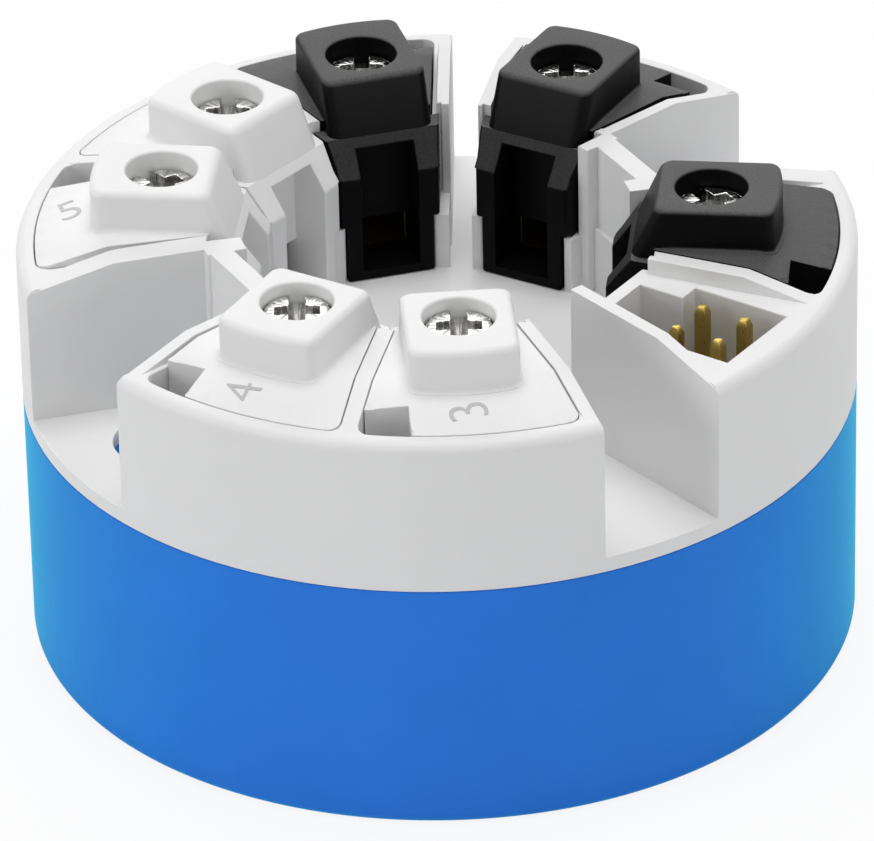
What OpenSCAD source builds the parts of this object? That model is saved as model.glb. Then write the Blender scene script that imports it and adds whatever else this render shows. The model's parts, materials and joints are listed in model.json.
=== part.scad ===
// Temperature transmitter for a sensor connection head.
// A round disc: blue cup below, white housing above, seven screw terminals that face the middle,
// a four-pin service socket, two mounting gaps and two wire gaps.
// The origin is on the axis at the underside, +Z is up, and the mounting holes lie along X.

/* [Disc] */
// Outside diameter of the cup and the housing
body_d = 44; // [43.5:0.1:45]
// Height of the blue cup
cup_h = 14.07; // [13.5:0.1:16]
// Thickness of the housing floor
floor_t = 0.88; // [0.8:0.05:1.2]
// Height of the blocks above the housing floor
block_h = 7.78; // [7.6:0.1:8.4]
// Radius of the outer edges
edge_r = 0.35; // [0.2:0.05:0.5]
// Thickness of the cup wall
cup_wall = 1.5; // [1.2:0.1:1.8]
// Thickness of the cup bottom
cup_floor = 1.2; // [0.8:0.1:1.6]

/* [Mounting] */
// Distance between the two mounting holes
hole_spacing = 33; // [32:0.5:33.5]
// Diameter of each mounting hole
mount_hole_d = 5; // [4.4:0.1:5.2]
// Diameter of the hole in the middle
center_hole_d = 7; // [6:0.5:7.5]
// Wall of the tubes round the holes
tube_wall = 0.9; // [0.7:0.1:1.1]
// Half of the angle of each mounting gap
mount_gap_half_angle = 13.4; // [13:0.1:13.6]

/* [Walls and ledges] */
// Distance from the axis to the inner end of the side walls
wall_in_r = 12; // [11.8:0.1:12.2]
// Distance from the axis to the inner face of the low ledges
ledge_in_r = 9.6; // [9.4:0.1:9.8]
// Height of the low ledges above the housing floor
ledge_h = 3.25; // [3:0.05:3.6]
// Rise of the side walls above the rim
ridge_rise = 0.9; // [0.6:0.05:1]
// Distance from the axis at which the side walls and the flanges begin to fall to the rim
ridge_bend_r = 17.3; // [16.5:0.1:18]
// Distance from the axis at which the side walls and the flanges reach the rim
ridge_end_r = 21; // [20.5:0.1:21.2]
// Thickness of the free side walls
side_wall_t = 0.7; // [0.5:0.05:0.8]
// Outer face of the wall that closes each mounting gap inwards
band_x = 12.1; // [11.9:0.1:12.3]
// Thickness of that wall
band_t = 1.25; // [1:0.05:1.4]
// Inner radius of the columns at its two ends
column_in_r = 10.35; // [10.2:0.05:10.6]

/* [Terminals] */
// Distance from the axis to the screws
screw_circle_r = 14.4; // [14.3:0.1:14.5]
// Angle between neighbouring terminals in one block
terminal_pitch = 34; // [34:0.1:34.2]
// Angle of terminal 1
terminal_1_angle = 32; // [32:0.1:32.2]
// Angle of terminal 2
terminal_2_angle = -34.5; // [-34.7:0.1:-34.5]
// Angle of terminal 3, from which terminal 4 follows by one pitch
terminal_3_angle = -114.2; // [-114.3:0.1:-114.1]
// Angle of terminal 7, from which terminals 6 and 5 follow
terminal_7_angle = 77.2; // [77:0.1:77.3]
// Width of the raised cap
cap_w = 5.7; // [5.5:0.1:5.8]
// Distance from the axis to the outer side of the cap
cap_out_r = 18.1; // [18:0.1:18.2]
// Radius of the bulge of that side
cap_bulge_r = 11; // [10:0.5:14]
// Rise of the cap above the rim
cap_rise = 3.07; // [2.9:0.1:3.3]
// Diameter of the screw hole in the cap
cap_hole_d = 3.8; // [3.8:0.05:3.9]
// Distance from the axis to the inner edge of the cap top
cap_in_r = 11.65; // [11.6:0.05:11.8]
// Distance from the axis to the inner face at the parting line
part_in_r = 10.4; // [10.2:0.1:10.6]
// Height of the parting line above the rim
part_rise = 0.27; // [0.2:0.05:0.35]
// Distance from the axis to the upright inner face
face_in_r = 9.05; // [9:0.05:9.2]
// Depth below the rim at which the inner face turns upright
face_drop = 1.63; // [1.5:0.1:1.9]
// Width of the foot between the ledges
foot_w = 4.8; // [4.6:0.1:4.9]
// Width of the wire window
window_w = 3.1; // [2.9:0.1:3.3]
// Height of the sill under the wire window
sill_h = 0.55; // [0.5:0.05:0.7]
// Distance from the axis to the back of the wire window
window_back_r = 11.2; // [11:0.1:11.3]
// Height of the wire hole at the back of the window
wire_hole_h = 2; // [1.8:0.1:2.2]
// Half of the web between neighbouring inserts
web_half = 0.5; // [0.45:0.01:0.55]
// Width of the rim round the inserts
rim_w = 1; // [0.95:0.05:1.1]
// Thickness of the insert's flange at its outer edge
flange_t = 1.6; // [1.4:0.1:1.8]
// Radius of the flange corners
flange_corner_r = 0.6; // [0.4:0.1:0.8]
// Distance from the axis to the notch in the flange
notch_in_r = 18.7; // [18.6:0.05:18.8]
// Sideways distance from the screw to the notch
notch_side = 2.95; // [2.8:0.05:3]
// Depth of the well under the notch
well_depth = 5; // [4:0.2:6]

/* [Screw and clamp] */
// Diameter of the screw head
head_d = 3.6; // [3.5:0.05:3.6]
// Height of the screw head
head_h = 1.5; // [1.4:0.1:1.6]
// Depth of the head top under the cap top on a driven screw
driven_depth = 0.85; // [0.75:0.05:1]
// Depth of the head top under the cap top on a raised screw
raised_depth = 0.5; // [0.4:0.05:0.6]
// Diameter of the shank
shank_d = 2.5; // [2.4:0.05:2.5]
// Length of the shank
shank_l = 5.25; // [5.15:0.05:5.25]
// Diameter of the tip that holds the clamp plate
tip_d = 1.5; // [1.3:0.1:1.6]
// Thickness of the clamp plate
clamp_t = 0.8; // [0.7:0.05:0.9]
// Width of the clamp plate
clamp_w = 2.8; // [2.6:0.1:2.8]
// Wall of the contact frame
frame_wall = 0.45; // [0.4:0.05:0.5]
// Thickness of the threaded top of the contact frame
frame_top_t = 1.2; // [1:0.1:1.3]
// Width of the contact frame
frame_w = 3.9; // [3.8:0.1:4]
// Radial clearance of screws in their bores
run_gap = 0.06; // [0.05:0.01:0.08]

/* [Service socket] */
// Turn of the socket about the axis of the disc
socket_turn = 27; // [26.8:0.1:27.2]
// Distance from the axis to the outer side of the socket
socket_out = 20.25; // [20:0.05:20.3]
// Length of the socket's deep side
socket_l = 5.5; // [5.4:0.05:5.6]
// Depth of the key recess at the inner side
socket_key_l = 2.6; // [2.4:0.1:2.7]
// Width of the key recess
socket_key_w = 1.22; // [1.1:0.05:1.4]
// Width of the socket's deep side
socket_w = 5.6; // [5.5:0.05:5.7]
// Sideways place of the socket's outer corner
socket_side = 2.03; // [1.9:0.05:2.1]
// Wall of the socket
socket_wall = 0.8; // [0.7:0.05:0.9]
// Angle of the free side wall of the socket
socket_wall_angle = -78.6; // [-78.8:0.1:-78.5]
// Inner end of that wall
socket_wall_in_r = 10.6; // [10.4:0.1:10.8]
// Distance between the pins
pin_pitch = 2.54; // [2:0.54:2.54]
// Side of the square pins
pin_w = 0.64; // [0.5:0.02:0.66]
// Sideways place of the middle of the pins
pin_mid_side = -0.4; // [-0.5:0.05:-0.3]
// Distance from the axis to the middle of the pins
pin_mid_out = 17.2; // [17.1:0.05:17.3]
// Depth of the pin tips under the rim
pin_drop = 0.1; // [0:0.1:1]
// Height of the header base on the board
header_h = 2.2; // [1.8:0.1:2.3]

/* [Board] */
// Depth of the resin's top, on which the board lies, below the seam
board_room = 5.07; // [4.6:0.05:5.6]
// Thickness of the board
board_t = 1; // [0.8:0.1:1.2]
// Gap round the board
board_gap = 0.3; // [0.2:0.05:0.4]
// Gap between the board and the tubes round the holes
board_tube_gap = 0.55; // [0.5:0.05:0.6]
// Clearance between pieces that are pushed together
fit_gap = 0.06; // [0.04:0.01:0.08]

/* [Hidden] */
$fn = 96;
small_fn = 48;
square_fn = 4;
square_turn = 45;
quarter_turn = 90;
over = 1;
side_signs = [-1, 1];
arc_steps = 8;
corner_steps = 5;

body_r = body_d / 2;
floor_z = cup_h + floor_t;
rim_z = floor_z + block_h;
cap_z = rim_z + cap_rise;
ledge_z = floor_z + ledge_h;
// Blocks and walls begin inside the housing floor
root_z = floor_z - floor_t / 2;
ridge_z = rim_z + ridge_rise;
part_z = rim_z + part_rise;
face_z = rim_z - face_drop;
flange_z = rim_z - flange_t;
cup_in_r = body_r - cup_wall;
tube_r = mount_hole_d / 2 + tube_wall;
center_tube_r = center_hole_d / 2 + tube_wall;
mount_x = hole_spacing / 2;
half_pitch = terminal_pitch / 2;
flange_r = body_r - rim_w;
skirt_h = 1.6;
skirt_t = 0.8;
recess_drop = 4;
recess_depth = 0.25;
column_turn_in = 10.5;
block_turn = 180;
// How far the side walls stand out of the blocks sideways and inwards
wall_step = 0.06;
wall_lead = 0.3;
// No block reaches further inwards than this, so the areas that cut them begin here
inner_start = 5;

terminal_angles = [
    terminal_1_angle,
    terminal_2_angle,
    terminal_3_angle,
    terminal_3_angle - terminal_pitch,
    terminal_7_angle + 2 * terminal_pitch,
    terminal_7_angle + terminal_pitch,
    terminal_7_angle];
white_terminals = [3, 4, 5, 6];
raised_terminals = [3, 4];

// Side planes of the blocks: the plane between two terminals, and how far the face lies beyond it
front_block_angle = terminal_3_angle + half_pitch;
front_block_off = 0.3;
left_block_angle = terminal_7_angle - half_pitch;
left_block_off = -0.5;
back_block_angle = terminal_1_angle + half_pitch;
back_block_off = 0.3;
socket_plane = terminal_2_angle - half_pitch;

frame_front_l = 2.5;
frame_back_l = 2.6;
frame_in_r = screw_circle_r - frame_front_l;
frame_out_r = screw_circle_r + frame_back_l;
frame_rise = 0.1;
frame_top_z = face_z + frame_rise;
frame_h = frame_top_z - floor_z;
rear_room = 0.6;
rear_out_r = frame_out_r + rear_room;
rear_w = 5.6;
front_step = 0.3;
front_out_r = frame_in_r - front_step;
leg_w = 0.8;
leg_inset = 0.6;
leg_r = frame_out_r - leg_inset;
leg_gap = 0.3;
clamp_front_gap = 0.4;
clamp_back_gap = 0.8;
clamp_in_r = frame_in_r + clamp_front_gap;
clamp_out_r = frame_out_r - clamp_back_gap;
slot_w = 0.8;
slot_depth = 0.7;
cross_w = 0.88;
cross_l = 2.3;
cross_depth = 1.1;
head_round = 0.3;
resin_top = cup_h - board_room;
board_top = resin_top + board_t;
pin_tip_h = 0.45;
pin_tip_share = 0.55;
pin_corner_r = pin_w / 2 / cos(square_turn);
header_w = 2 * pin_pitch;
white = "WhiteSmoke";
dark = "DimGray";

// Chips: length, width and height, and the place under the board or the angle and distance on it
reference_size = [3, 3, 1];
reference_at = [-9, 6];
crystal_size = [3.2, 2.5, 0.8];
crystal_at = [8, -5];
microcontroller_size = [7, 7, 1];
microcontroller_angle = -96;
microcontroller_d = 11;
transformer_size = [6.5, 7, 3];
transformer_angle = 54;
transformer_d = 11;
converter_size = [4, 5, 1];
converter_angle = 128;
converter_d = 10.5;
driver_size = [4, 3.5, 0.9];
driver_angle = 160;
driver_d = 9;
memory_size = [3, 3, 0.8];
memory_angle = -160;
memory_d = 9;
inductor_size = [3.5, 3.5, 2];
inductor_angle = -20;
inductor_d = 9;
capacitor_r = 1.5;
capacitor_h = 3.2;
capacitor_d = 8.5;
capacitor_1_angle = 94;
capacitor_2_angle = 10;

// Turn of each screw's slot
screw_turns = [30, 126, -4, 30, -48, -50, -16];

// A point at distance d along a ray at the given angle, moved sideways by off
function ray_point(angle, off, d) =
    [d * cos(angle) - off * sin(angle), d * sin(angle) + off * cos(angle)];

// Whether a terminal's insert is white
function is_white(i) = len(search(i, white_terminals)) > 0;

// Depth of a screw's head under the cap top
function head_depth(i) = len(search(i, raised_terminals)) > 0 ? raised_depth : driven_depth;

// A flat area between two rays, each with its own sideways offset
module between_rays(angle_a, off_a, angle_b, off_b, r_in, r_out) {
    polygon([
        ray_point(angle_a, off_a, r_in),
        ray_point(angle_a, off_a, r_out),
        ray_point(angle_b, off_b, r_out),
        ray_point(angle_b, off_b, r_in)]);
}

// A ring that stands on the floor
module ring(r_in, r_out, z0, z1) {
    translate([0, 0, z0])
        difference() {
            cylinder(r = r_out, h = z1 - z0);
            translate([0, 0, -over])
                cylinder(r = r_in, h = z1 - z0 + 2 * over);
        }
}

// A disc whose upper outer edge is round
module rounded_disc(r, z1) {
    rotate_extrude()
        union() {
            square([r - edge_r, z1]);
            square([r, z1 - edge_r]);
            translate([r - edge_r, z1 - edge_r])
                intersection() {
                    circle(r = edge_r, $fn = small_fn);
                    square(edge_r + over);
                }
        }
}

// The side view that the walls and the flanges share, from r_in outwards and from z_low up.
// Its top rises above the rim, and falls past it outwards.
module ridge_profile(r_in, z_low) {
    end_r = body_r + over;
    fall = ridge_rise / (ridge_end_r - ridge_bend_r);
    polygon([
        [r_in, z_low],
        [r_in, ridge_z],
        [ridge_bend_r, ridge_z],
        [end_r, rim_z - (end_r - ridge_end_r) * fall],
        [end_r, z_low]]);
}

// A wall along a ray
module ridge_wall(angle, off, thick, r_in) {
    rotate([0, 0, angle])
        translate([0, off, 0])
            rotate([quarter_turn, 0, 0])
                linear_extrude(thick)
                    ridge_profile(r_in, root_z);
}

// The wedge that one insert may fill, kept clear of the planes to its neighbours
module insert_wedge(gap, r_out) {
    polygon([
        ray_point(-half_pitch, gap, inner_start),
        ray_point(-half_pitch, gap, r_out),
        ray_point(half_pitch, -gap, r_out),
        ray_point(half_pitch, -gap, inner_start)]);
}

// Points along an arc, from one angle to another
function arc_points(mid, r, from, to, steps) =
    [for (k = [0 : steps]) let (a = from + (to - from) * k / steps) mid + r * [cos(a), sin(a)]];

// The points of a polygon mirrored across X, in reverse order
function mirrored(points) = [for (k = [len(points) - 1 : -1 : 0]) [points[k].x, -points[k].y]];

// Where a ray that is moved sideways by off crosses the line x = c
function ray_at_x(angle, off, c) = [c, c * tan(angle) + off / cos(angle)];

// The flange seen from above, grown by the given gap
module flange_outline(gap) {
    side = web_half - gap;
    round_r = flange_corner_r + gap;
    corner_r = flange_r + gap - round_r;
    corner_d = sqrt(corner_r * corner_r - (side + round_r) * (side + round_r));
    corner = ray_point(half_pitch, -side - round_r, corner_d);
    turn = atan2(corner.y, corner.x);
    upper_half = concat(
        arc_points([0, 0], flange_r + gap, 0, turn, arc_steps),
        arc_points(corner, round_r, turn, half_pitch + quarter_turn, corner_steps),
        [ray_at_x(half_pitch, -side, front_out_r - gap)]);
    polygon(concat([for (k = [1 : len(upper_half) - 1]) upper_half[k]], mirrored(upper_half)));
}

// The foot and the rear of an insert's body, seen from above
module lower_outline(gap) {
    translate([face_in_r - gap, -foot_w / 2 - gap])
        square([front_out_r - face_in_r + 2 * gap, foot_w + 2 * gap]);
    translate([front_out_r - gap, -rear_w / 2 - gap])
        square([rear_out_r - front_out_r + 2 * gap, rear_w + 2 * gap]);
}

// The front of an insert above the ledges, seen from above. Neighbouring pockets overlap a little.
module upper_outline(gap) {
    intersection() {
        insert_wedge(fit_gap - 2 * gap, body_r);
        translate([face_in_r - gap, -body_r])
            square([front_out_r - face_in_r + 2 * gap, body_d]);
    }
}

// The raised cap seen from above
module cap_outline() {
    intersection() {
        translate([face_in_r, -cap_w / 2])
            square([cap_out_r - face_in_r, cap_w]);
        translate([cap_out_r - cap_bulge_r, 0])
            circle(r = cap_bulge_r);
    }
}

// The space in front of the sloping inner face
module slope_cut() {
    slope = (part_z - face_z) / (part_in_r - face_in_r);
    translate([0, body_r, 0])
        rotate([quarter_turn, 0, 0])
            linear_extrude(body_d)
                polygon([
                    [face_in_r - over, face_z - over * slope],
                    [part_in_r, part_z],
                    [cap_in_r, cap_z],
                    [cap_in_r, cap_z + over],
                    [face_in_r - over, cap_z + over]]);
}

module insert_body() {
    difference() {
        union() {
            translate([0, 0, floor_z])
                linear_extrude(flange_z - floor_z)
                    lower_outline(0);
            translate([0, 0, ledge_z + fit_gap])
                linear_extrude(part_z - ledge_z - fit_gap)
                    upper_outline(0);
            intersection() {
                translate([0, 0, flange_z])
                    linear_extrude(flange_t + ridge_rise + over)
                        flange_outline(0);
                rotate([0, 0, block_turn])
                    rotate_extrude()
                        ridge_profile(inner_start, flange_z - over);
            }
            translate([0, 0, flange_z])
                linear_extrude(cap_z - flange_z)
                    cap_outline();
        }
        slope_cut();
        translate([face_in_r - over, -window_w / 2, floor_z + sill_h])
            cube([window_back_r - face_in_r + over, window_w, part_z - floor_z - 2 * sill_h]);
        translate([face_in_r - over, -window_w / 2, floor_z + sill_h])
            cube([frame_in_r - face_in_r + 2 * over, window_w, wire_hole_h]);
        translate([frame_in_r, -frame_w / 2, floor_z - over])
            cube([frame_out_r - frame_in_r, frame_w, frame_h + over]);
        translate([screw_circle_r, 0, floor_z])
            cylinder(d = cap_hole_d, h = cap_z - floor_z + over, $fn = small_fn);
        translate([notch_in_r, -body_r - notch_side, flange_z - over])
            cube([body_r, body_r, flange_t + ridge_rise + 2 * over]);
    }
}

module contact_frame_body() {
    difference() {
        translate([frame_in_r, -frame_w / 2, floor_z])
            cube([frame_out_r - frame_in_r, frame_w, frame_h]);
        translate([frame_in_r - over, frame_wall - frame_w / 2, floor_z + frame_wall])
            cube([frame_out_r - frame_in_r - frame_wall + over, frame_w - 2 * frame_wall,
                frame_h - frame_wall - frame_top_t]);
        translate([screw_circle_r, 0, floor_z + frame_wall])
            cylinder(d = shank_d + 2 * run_gap, h = frame_h, $fn = small_fn);
    }
    translate([leg_r - leg_w / 2, -leg_w / 2, board_top])
        cube([leg_w, leg_w, floor_z + frame_wall / 2 - board_top]);
}

// Height of the screw's shoulder, where the clamp plate begins
function shoulder_z(i) = cap_z - head_depth(i) - head_h - shank_l;

module clamp_plate_body(i) {
    translate([0, 0, shoulder_z(i) - clamp_t])
        difference() {
            translate([clamp_in_r, -clamp_w / 2, 0])
                cube([clamp_out_r - clamp_in_r, clamp_w, clamp_t]);
            translate([screw_circle_r, 0, -over])
                cylinder(d = tip_d + 2 * run_gap, h = clamp_t + 2 * over, $fn = small_fn);
        }
}

module screw_profile() {
    square([tip_d / 2, clamp_t + over / 2]);
    translate([0, clamp_t])
        square([shank_d / 2, shank_l + over / 2]);
    translate([0, clamp_t + shank_l])
        square([head_d / 2, head_h - head_round]);
    translate([0, clamp_t + shank_l])
        square([head_d / 2 - head_round, head_h]);
    translate([head_d / 2 - head_round, clamp_t + shank_l + head_h - head_round])
        intersection() {
            circle(r = head_round, $fn = small_fn);
            square(head_round + over);
        }
}

module screw_body(i, turn) {
    head_top = clamp_t + shank_l + head_h;
    translate([screw_circle_r, 0, shoulder_z(i) - clamp_t])
        rotate([0, 0, turn])
            difference() {
                rotate_extrude($fn = small_fn)
                    screw_profile();
                translate([-head_d / 2 - over, -slot_w / 2, head_top - slot_depth])
                    cube([head_d + 2 * over, slot_w, slot_depth + over]);
                for (a = [0, quarter_turn])
                    rotate([0, 0, a])
                        translate([-cross_l / 2, -cross_w / 2, head_top - cross_depth])
                            cube([cross_l, cross_w, cross_depth + over]);
            }
}

module insert(i) {
    color(is_white(i) ? white : dark)
        rotate([0, 0, terminal_angles[i - 1]])
            insert_body();
}

module contact_frame(i) {
    color("Gold")
        rotate([0, 0, terminal_angles[i - 1]])
            contact_frame_body();
}

module clamp_plate(i) {
    color("Silver")
        rotate([0, 0, terminal_angles[i - 1]])
            clamp_plate_body(i);
}

module terminal_screw(i) {
    color("Gainsboro")
        rotate([0, 0, terminal_angles[i - 1]])
            screw_body(i, screw_turns[i - 1]);
}

module base_cup() {
    color("DodgerBlue")
        difference() {
            union() {
                difference() {
                    translate([0, 0, cup_h])
                        mirror([0, 0, 1])
                            rounded_disc(body_r, cup_h);
                    translate([0, 0, cup_floor])
                        cylinder(r = cup_in_r, h = cup_h);
                }
                for (x = [-mount_x, mount_x])
                    translate([x, 0, 0])
                        cylinder(r = tube_r, h = cup_h);
                cylinder(r = center_tube_r, h = cup_h);
            }
            for (x = [-mount_x, mount_x])
                translate([x, 0, -over])
                    cylinder(d = mount_hole_d, h = cup_h + 2 * over);
            translate([0, 0, -over])
                cylinder(d = center_hole_d, h = cup_h + 2 * over);
        }
}

// The shape that fills the cup from z0 to z1, kept clear of its wall and of its tubes
module cup_inside(gap, tube_gap, z0, z1) {
    difference() {
        translate([0, 0, z0])
            cylinder(r = cup_in_r - gap, h = z1 - z0);
        for (x = [-mount_x, mount_x])
            translate([x, 0, z0 - over])
                cylinder(r = tube_r + tube_gap, h = z1 - z0 + 2 * over);
        translate([0, 0, z0 - over])
            cylinder(r = center_tube_r + tube_gap, h = z1 - z0 + 2 * over);
    }
}

// The resin that fills the cup under the board
module resin_filling() {
    color("DarkSlateGray")
        difference() {
            cup_inside(0, 0, cup_floor, resin_top);
            hanging_chip(reference_at, reference_size);
            hanging_chip(crystal_at, crystal_size);
        }
}

module main_board() {
    color("DarkGreen")
        cup_inside(board_gap, board_tube_gap, resin_top, board_top);
}

// A chip under the board
module hanging_chip(at, size) {
    translate([at.x - size.x / 2, at.y - size.y / 2, resin_top - size.z])
        cube(size);
}

// A chip on the board, turned about the axis of the disc
module standing_chip(angle, d, size) {
    rotate([0, 0, angle])
        translate([d - size.x / 2, -size.y / 2, board_top])
            cube(size);
}

module voltage_reference() {
    color("Black")
        hanging_chip(reference_at, reference_size);
}

module crystal() {
    color("Silver")
        hanging_chip(crystal_at, crystal_size);
}

module microcontroller() {
    color("Black")
        standing_chip(microcontroller_angle, microcontroller_d, microcontroller_size);
}

module isolation_transformer() {
    color("SaddleBrown")
        standing_chip(transformer_angle, transformer_d, transformer_size);
}

module signal_converter() {
    color("Black")
        standing_chip(converter_angle, converter_d, converter_size);
}

module output_driver() {
    color("Black")
        standing_chip(driver_angle, driver_d, driver_size);
}

module memory_chip() {
    color("Black")
        standing_chip(memory_angle, memory_d, memory_size);
}

module inductor() {
    color("DimGray")
        standing_chip(inductor_angle, inductor_d, inductor_size);
}

module capacitor(angle) {
    color("Silver")
        rotate([0, 0, angle])
            translate([capacitor_d, 0, board_top])
                cylinder(r = capacitor_r, h = capacitor_h, $fn = small_fn);
}

module capacitor_1() {
    capacitor(capacitor_1_angle);
}

module capacitor_2() {
    capacitor(capacitor_2_angle);
}

// Places things in the socket's own frame: across it, and away from the axis of the disc
module socket_frame() {
    rotate([0, 0, socket_turn])
        children();
}

// The socket seen from above, in its own frame
module socket_outline() {
    deep_in = socket_out - socket_l;
    key_in = deep_in - socket_key_l;
    polygon([
        [socket_side, -socket_out],
        [socket_side, -deep_in],
        [socket_side - socket_key_w, -deep_in],
        [socket_side - socket_key_w, -key_in],
        [socket_side - socket_w, -key_in],
        [socket_side - socket_w, -socket_out]]);
}

// The space beside the free side wall, towards the terminals
module beside_socket_wall(inset) {
    polygon([
        ray_point(socket_wall_angle, inset, 0),
        ray_point(socket_wall_angle, inset, 2 * body_r),
        ray_point(socket_wall_angle + quarter_turn, inset, 2 * body_r)]);
}

// The hollow of the socket, beside its slanting wall
module socket_pocket() {
    intersection() {
        socket_frame()
            socket_outline();
        beside_socket_wall(socket_wall);
    }
}

module socket_block_outline() {
    key_in = socket_out - socket_l - socket_key_l;
    intersection() {
        between_rays(socket_wall_angle, wall_step, socket_plane, web_half / 2, inner_start, 2 * body_r);
        socket_frame()
            translate([-body_r, -2 * body_r])
                square([body_d, 2 * body_r - key_in + socket_wall]);
    }
}

module pin_header_base() {
    color(dark)
        socket_frame()
            translate([pin_mid_side - header_w / 2, -pin_mid_out - header_w / 2, board_top])
                difference() {
                    cube([header_w, header_w, header_h]);
                    for (x = side_signs, y = side_signs)
                        translate([header_w / 2 + x * pin_pitch / 2 - pin_w / 2,
                            header_w / 2 + y * pin_pitch / 2 - pin_w / 2, -over])
                            cube([pin_w, pin_w, header_h + 2 * over]);
                }
}

module service_pin(x, y) {
    shaft_h = rim_z - pin_drop - pin_tip_h - board_top;
    color("Goldenrod")
        socket_frame()
            translate([pin_mid_side + x * pin_pitch / 2, -pin_mid_out + y * pin_pitch / 2, board_top]) {
                translate([-pin_w / 2, -pin_w / 2, 0])
                    cube([pin_w, pin_w, shaft_h]);
                translate([0, 0, shaft_h])
                    rotate([0, 0, square_turn])
                        cylinder(r1 = pin_corner_r, r2 = pin_corner_r * pin_tip_share,
                            h = pin_tip_h, $fn = square_fn);
            }
}

// The blocks before the pockets are cut: a low ring of ledges and a high ring, wider than needed
module block_rings() {
    difference() {
        union() {
            ring(ledge_in_r, body_r + over, root_z, ledge_z);
            ring(wall_in_r + wall_lead, body_r + over, root_z, rim_z);
        }
        translate([0, 0, root_z - over])
            linear_extrude(rim_z - root_z + 2 * over)
                gaps_outline();
    }
}

// The mounting gaps, the back wire gap, and the front wire gap with the socket, seen from above.
// Each reaches a little into the walls beside it.
module gaps_outline() {
    for (turn = [0, block_turn])
        rotate(turn)
            between_rays(-mount_gap_half_angle, -wall_step, mount_gap_half_angle, wall_step,
                inner_start, 2 * body_r);
    between_rays(back_block_angle, back_block_off - wall_step, left_block_angle,
        left_block_off + wall_step, inner_start, 2 * body_r);
    between_rays(front_block_angle, front_block_off - wall_step, socket_plane,
        wall_step - web_half, inner_start, 2 * body_r);
}

// The wall that closes a mounting gap inwards, with a column at each end.
// It runs on a little into the pockets of the inserts beside it, which cut it.
module gap_band(low_angle, high_angle) {
    translate([0, 0, root_z])
        linear_extrude(ridge_z - root_z)
            intersection() {
                between_rays(low_angle, -web_half, high_angle, web_half, inner_start, 2 * body_r);
                translate([band_x - band_t, -body_r])
                    square([band_t, body_d]);
            }
    translate([0, 0, root_z])
        linear_extrude(rim_z - recess_drop - root_z)
            intersection() {
                between_rays(low_angle, -web_half, high_angle, web_half, inner_start, 2 * body_r);
                translate([band_x - band_t - recess_depth, -body_r])
                    square([band_t + recess_depth, body_d]);
            }
    for (edges = [[low_angle, -web_half, -column_turn_in, 0], [column_turn_in, 0, high_angle, web_half]])
        translate([0, 0, root_z])
            linear_extrude(ridge_z - root_z)
                intersection() {
                    between_rays(edges[0], edges[1], edges[2], edges[3], inner_start, 2 * body_r);
                    difference() {
                        circle(r = wall_in_r + web_half);
                        circle(r = column_in_r);
                    }
                }
}

module side_walls() {
    ridge_wall(front_block_angle, front_block_off, side_wall_t, wall_in_r);
    ridge_wall(terminal_3_angle - half_pitch, web_half, 2 * web_half, wall_in_r);
    ridge_wall(-block_turn + mount_gap_half_angle, side_wall_t, side_wall_t, wall_in_r);
    ridge_wall(block_turn - mount_gap_half_angle, 0, side_wall_t * 2, wall_in_r);
    ridge_wall(terminal_7_angle + terminal_pitch + half_pitch, web_half, 2 * web_half, wall_in_r);
    ridge_wall(terminal_7_angle + half_pitch, web_half, 2 * web_half, wall_in_r);
    ridge_wall(left_block_angle, left_block_off + side_wall_t, side_wall_t, wall_in_r);
    ridge_wall(back_block_angle, back_block_off, side_wall_t, wall_in_r);
    ridge_wall(mount_gap_half_angle, side_wall_t, side_wall_t, wall_in_r);
    ridge_wall(-mount_gap_half_angle, 0, side_wall_t * 2, wall_in_r);
    ridge_wall(socket_plane, web_half, 2 * web_half, wall_in_r);
    ridge_wall(socket_wall_angle, socket_wall, socket_wall, socket_wall_in_r);
}

// The space that one insert takes up in the housing, with its clearance
module insert_pocket() {
    translate([0, 0, floor_z])
        linear_extrude(flange_z - floor_z + over)
            lower_outline(fit_gap);
    translate([0, 0, ledge_z + fit_gap / 2])
        linear_extrude(block_h)
            upper_outline(fit_gap);
    translate([0, 0, flange_z])
        linear_extrude(block_h)
            flange_outline(fit_gap);
    translate([0, 0, rim_z - well_depth])
        linear_extrude(well_depth)
            difference() {
                flange_outline(0);
                translate([0, -notch_side])
                    square([body_d, body_d]);
                square([2 * notch_in_r, body_d], center = true);
            }
}

// The round shape with a sloping upper edge that the whole housing stays inside
module housing_limits() {
    rotate_extrude()
        polygon([
            [0, cup_h - 2 * over],
            [body_r, cup_h - 2 * over],
            [body_r, rim_z - edge_r],
            [body_r + rim_z - edge_r - cap_z, cap_z],
            [0, cap_z]]);
}

// The walls of both mounting gaps
module gap_bands() {
    gap_band(socket_plane + terminal_pitch, terminal_1_angle - half_pitch);
    rotate(block_turn)
        gap_band(terminal_7_angle + 2 * terminal_pitch + half_pitch - block_turn,
            terminal_3_angle - terminal_pitch - half_pitch + block_turn);
}

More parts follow.
